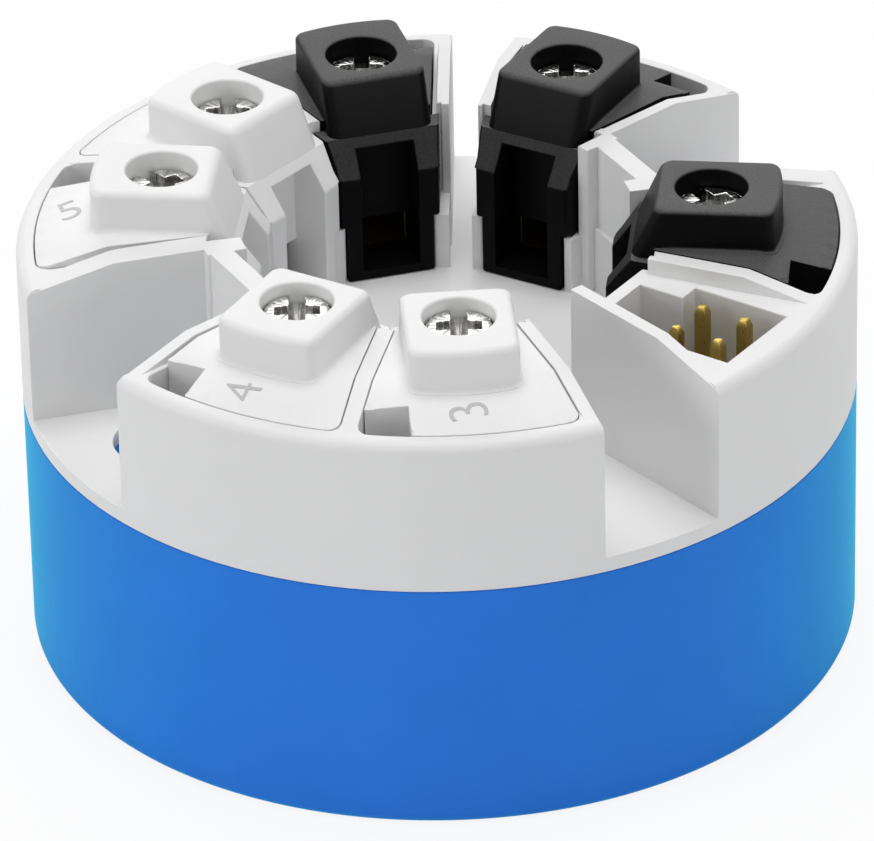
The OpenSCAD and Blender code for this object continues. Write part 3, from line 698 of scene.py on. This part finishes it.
def add_number(i):
    """The plain number on the flange of insert i, just proud of it."""
    out_r, side, lean, height = NUMBERS[i]
    _, out, ccw = terminal_axes(i)
    a = math.radians(lean)
    up = out * math.sin(a) - ccw * math.cos(a)
    right = Vector((up.y, -up.x, 0))
    curve = bpy.data.curves.new(f"number_{i}", "FONT")
    curve.body = str(i)
    curve.extrude = NUMBER_DEPTH
    curve.offset = NUMBER_THINNER
    holder = bpy.data.objects.new("holder", curve)
    bpy.context.scene.collection.objects.link(holder)
    bpy.context.view_layer.update()
    graph = bpy.context.evaluated_depsgraph_get()
    mesh = bpy.data.meshes.new_from_object(holder.evaluated_get(graph))
    bpy.data.objects.remove(holder)
    xs, ys = [v.co.x for v in mesh.vertices], [v.co.y for v in mesh.vertices]
    scale = height / (max(ys) - min(ys))
    middle = Vector(((max(xs) + min(xs)) / 2, (max(ys) + min(ys)) / 2, 0))
    centre = out * out_r + ccw * side
    for v in mesh.vertices:
        p = (v.co - middle) * scale
        q = centre + right * p.x + up * p.y
        q.z = flange_height(q.xy.length) + (NUMBER_RAISE if v.co.z > 0 else -NUMBER_RAISE)
        v.co = q * MM
    mesh.name = f"number_{i}"
    piece = bpy.data.objects.new(f"number_{i}", mesh)
    bpy.context.scene.collection.objects.link(piece)
    mesh.materials.clear()
    mesh.materials.append(NUMBER_MATERIAL)
    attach(piece, BODY_OF[f"insert_{i}"])


def is_flange_edge(edge, middle):
    """Tests whether an edge lies round a flange's top."""
    faces_up = max(face.normal.z for face in edge.link_faces) > 0.9
    return middle.z > RIM_Z - 0.1 and edge.is_convex and faces_up


def flange_height(r):
    """Height of a flange's top at distance r from the disc's axis."""
    return min(RIDGE_Z, RIM_Z + (RIDGE_END - r) * (RIDGE_Z - RIM_Z) / (RIDGE_END - RIDGE_BEND))


def cap_cutter():
    """Takes a raised cap off its insert, just above the flange."""
    low, high = CAP_FOOT_Z + FLANGE_CLEAR, CAP_FOOT_Z + 10
    ridge = RIDGE_Z + FLANGE_CLEAR
    step_r = math.hypot(FLANGE_IN, CAP_HALF_W) - 0.05
    start_r, end_r = step_r - 4, DISC_R + 1
    return ring_tool(((start_r, low), (step_r, low), (step_r, ridge), (RIDGE_BEND, ridge),
                      (end_r, flange_height(end_r) + FLANGE_CLEAR), (end_r, high),
                      (start_r, high)))


def cap_outline():
    """The cap's outline at its foot, as points that move straight inwards when it shrinks: each has
    its centre, its direction and distance from it, and its share of the inner side's lean."""
    side = CAP_HALF_W - CAP_CORNER
    bulge_x = CAP_OUT - CAP_BULGE
    corner_x = bulge_x + math.sqrt((CAP_BULGE - CAP_CORNER) ** 2 - side * side)
    turn = math.atan2(side, corner_x - bulge_x)
    inner_x = CAP_FOOT_IN + CAP_CORNER
    right, half = math.pi / 2, []
    for k in range(CAP_STEPS // 2 + 1):
        half.append((bulge_x, 0, turn * 2 * k / CAP_STEPS, CAP_BULGE, 0))
    for k in range(1, CAP_STEPS + 1):
        half.append((corner_x, side, turn + (right - turn) * k / CAP_STEPS, CAP_CORNER, 0))
    for x in CAP_SIDE_X:
        half.append((x, side, right, CAP_CORNER, (corner_x - x) / (corner_x - inner_x)))
    for k in range(CAP_STEPS + 1):
        half.append((inner_x, side, right + right * k / CAP_STEPS, CAP_CORNER, 1))
    for share in CAP_INNER_SHARES:
        half.append((inner_x, side * share, 2 * right, CAP_CORNER, 1))
    return half + [(x, -y, -a, r, lean) for x, y, a, r, lean in reversed(half[1:-1])]


def cap_piece(i):
    """The raised cap of insert i, with rounded corners, top, hole rim and foot."""
    top = top_of(f"insert_{i}")
    top_round = CAP_TOP_ROUND[i in WHITE_INSERTS]
    lean_share = (CAP_TOP_IN - CAP_FOOT_IN) / (top - CAP_FOOT_Z)
    outline = cap_outline()

    def spot(point, inset, z):
        x, y, a, r, lean = point
        x += lean * (z - CAP_FOOT_Z) * lean_share
        return x + (r - inset) * math.cos(a), y + (r - inset) * math.sin(a), z

    def foot(point):
        x, y, _ = spot(point, 0, CAP_FOOT_Z)
        if x < FLANGE_IN:
            return CAP_FOOT_Z, 0
        return flange_height(math.hypot(x, y)), min(1, 2 * (x - FLANGE_IN))

    turns = [math.pi / 2 * k / CAP_STEPS for k in range(CAP_STEPS + 1)]
    edge = [spot(point, top_round, top) for point in outline]
    angles = [math.atan2(y, x - SCREW_CIRCLE) for x, y, _ in edge]

    def hole_ring(r, z):
        return [(SCREW_CIRCLE + r * math.cos(a), r * math.sin(a), z) for a in angles]

    rings = [hole_ring(CAP_HOLE_R, RIDGE_Z - CAP_HOLE_UNDER)]
    for t in turns:
        rings.append(hole_ring(CAP_HOLE_R + CAP_HOLE_ROUND * (1 - math.cos(t)),
                               top - CAP_HOLE_ROUND * (1 - math.sin(t))))
    for t in reversed(turns):
        inset, z = top_round * (1 - math.cos(t)), top - top_round * (1 - math.sin(t))
        rings.append([spot(point, inset, z) for point in outline])
    for t in turns:
        ring = []
        for point in outline:
            z, share = foot(point)
            ring.append(spot(point, -share * CAP_FOOT_ROUND * (1 - math.cos(t)),
                             z - CAP_SINK + CAP_FOOT_ROUND * (1 - math.sin(t))))
        rings.append(ring)
    rings.append([(x, y, z - CAP_SKIRT) for x, y, z in rings[-1]])
    _, out, ccw = terminal_axes(i)
    rings = [[(out * x + ccw * y + Vector((0, 0, z))) * MM for x, y, z in ring] for ring in rings]
    piece = new_object(f"cap_{i}", lofted(rings))
    soften(piece.data, SMOOTH)
    slot = slot_of(f"insert_{i}")
    piece.data.materials.append(MATERIALS[slot])
    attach(piece, BODY_OF[f"insert_{i}"])


def is_head_edge(i):
    """Tests whether an edge lies on the outer rim of a screw head's top."""
    centre, _, _ = terminal_axes(i)
    top = top_of(f"terminal_screw_{i}")

    def test(edge, middle):
        flat = Vector((middle.x - centre.x, middle.y - centre.y))
        return abs(middle.z - top) < HEAD_SLACK and flat.length > HEAD_RIM_IN
    return test


def domed_head(i):
    """Lowers a screw head's top towards its rim."""
    centre, _, _ = terminal_axes(i)
    top = top_of(f"terminal_screw_{i}")

    def bend(co):
        if co.z < top - HEAD_EDGE:
            return co
        share = Vector((co.x - centre.x, co.y - centre.y)).length / HEAD_R
        return Vector((co.x, co.y, co.z - HEAD_DOME * share * share))
    return bend


def dress_nodes():
    """Gives each node its finish, and the seen ones their rounded copies and details."""
    for name, node in NODES.items():
        node.data.materials.clear()
        node.data.materials.append(MATERIALS[slot_of(name)])
    rounded("base_cup", ROUND["base_cup"], cut=edge_tool(0, False),
            keep=lambda middle: middle.z < CUP_EDGE_TOP and middle.xy.length > DISC_R - 1)
    rounded("top_housing", ROUND["top_housing"], cut=edge_tool(RIM_Z, True))
    for i in TERMINAL_ANGLES:
        rounded(f"insert_{i}", ROUND["insert"], [(is_flange_edge, FLANGE_ROUND)],
                cut=cap_cutter())
        cap_piece(i)
        rounded(f"terminal_screw_{i}", ROUND["terminal_screw"],
                [(is_head_edge(i), HEAD_RIM_ROUND)], 3, bend=domed_head(i))
        rounded(f"clamp_plate_{i}", ROUND["clamp_plate"])
        rounded(f"contact_frame_{i}", ROUND["contact_frame"])
    for k in range(1, PIN_COUNT + 1):
        rounded(f"service_pin_{k}", ROUND["service_pin"])
    for i in NUMBERS:
        add_number(i)


# Stage and light: level of the world's light, tone and half width in metres of the floor, the share
# of it that the camera sees as white, and the height in metres that the lamps point at

WORLD_LEVEL = 0.27
FLOOR_TONE = (0.93, 0.93, 0.93)
FLOOR_REACH = 2.0
FLOOR_SEEN_WHITE = 0.88
AIM_Z = 0.015


def seen_ray_share(tree):
    """1 for rays from the camera, from gloss and through glass, 0 for light on things."""
    path = tree.nodes.new("ShaderNodeLightPath")
    total = path.outputs["Is Camera Ray"]
    for other in ("Is Glossy Ray", "Is Transmission Ray"):
        node = tree.nodes.new("ShaderNodeMath")
        node.operation = "MAXIMUM"
        tree.links.new(total, node.inputs[0])
        tree.links.new(path.outputs[other], node.inputs[1])
        total = node.outputs[0]
    return total


def add_world():
    """Even light from all round, seen as plain white."""
    world = bpy.data.worlds.new("studio")
    bpy.context.scene.world = world
    world.use_nodes = True
    tree = world.node_tree
    tree.nodes.clear()
    out = tree.nodes.new("ShaderNodeOutputWorld")
    light = tree.nodes.new("ShaderNodeBackground")
    light.inputs["Color"].default_value = (1, 1, 1, 1)
    light.inputs["Strength"].default_value = WORLD_LEVEL
    seen = tree.nodes.new("ShaderNodeBackground")
    seen.inputs["Color"].default_value = (1, 1, 1, 1)
    seen.inputs["Strength"].default_value = 1.0
    mix = tree.nodes.new("ShaderNodeMixShader")
    tree.links.new(seen_ray_share(tree), mix.inputs[0])
    tree.links.new(light.outputs[0], mix.inputs[1])
    tree.links.new(seen.outputs[0], mix.inputs[2])
    tree.links.new(mix.outputs[0], out.inputs["Surface"])


def add_floor():
    """A pale floor that shows nearly white and keeps the object's shadow."""
    bm = bmesh.new()
    bmesh.ops.create_grid(bm, x_segments=1, y_segments=1, size=FLOOR_REACH)
    floor = new_object("floor", bm)
    floor.location.z = CAD_BOX[0].z
    material, tree, shader = blank("floor_pale")
    shader.inputs["Base Color"].default_value = (*FLOOR_TONE, 1)
    shader.inputs["Roughness"].default_value = 0.9
    shader.inputs["Specular IOR Level"].default_value = 0.0
    glow = tree.nodes.new("ShaderNodeEmission")
    glow.inputs["Strength"].default_value = 1.0
    part = tree.nodes.new("ShaderNodeMath")
    part.operation = "MULTIPLY"
    part.inputs[1].default_value = FLOOR_SEEN_WHITE
    tree.links.new(seen_ray_share(tree), part.inputs[0])
    mix = tree.nodes.new("ShaderNodeMixShader")
    tree.links.new(part.outputs[0], mix.inputs[0])
    tree.links.new(shader.outputs[0], mix.inputs[1])
    tree.links.new(glow.outputs[0], mix.inputs[2])
    out = next(n for n in tree.nodes if n.type == "OUTPUT_MATERIAL")
    tree.links.new(mix.outputs[0], out.inputs["Surface"])
    floor.data.materials.append(material)


# Soft lights: azimuth from the camera's side (0 at the camera, 90 to its right), elevation,
# distance, width, height in metres, and watts
LIGHTS = {
    "overhead": (170, 87, 0.7, 0.42, 0.42, 2.85),
    "behind": (180, 32, 0.7, 0.60, 0.30, 1.1),
    "front_left": (-68, 16, 0.7, 0.45, 0.3, 1.15),
    "front_right": (46, 14, 0.8, 0.45, 0.3, 0.8),
}


def add_lights():
    for name, (azimuth, elevation, distance, width, height, watts) in LIGHTS.items():
        data = bpy.data.lights.new(name, "AREA")
        data.shape = "RECTANGLE"
        data.size, data.size_y = width, height
        data.energy = watts
        lamp = bpy.data.objects.new(name, data)
        bpy.context.scene.collection.objects.link(lamp)
        a, e = math.radians(azimuth + CAMERA_TURN - 90), math.radians(elevation)
        back = Vector((math.cos(a) * math.cos(e), math.sin(a) * math.cos(e), math.sin(e)))
        lamp.location = back * distance + Vector((0, 0, AIM_Z))
        lamp.rotation_mode = "QUATERNION"
        lamp.rotation_quaternion = (-back).to_track_quat("-Z", "Y")


MATERIALS = make_materials()
NUMBER_MATERIAL = moulded("number_grey", NUMBER_GREY, 0.5, 0.2, 0.004)

add_camera()
dress_nodes()
add_world()
add_floor()
add_lights()
bpy.context.scene.view_settings.view_transform = "Standard"
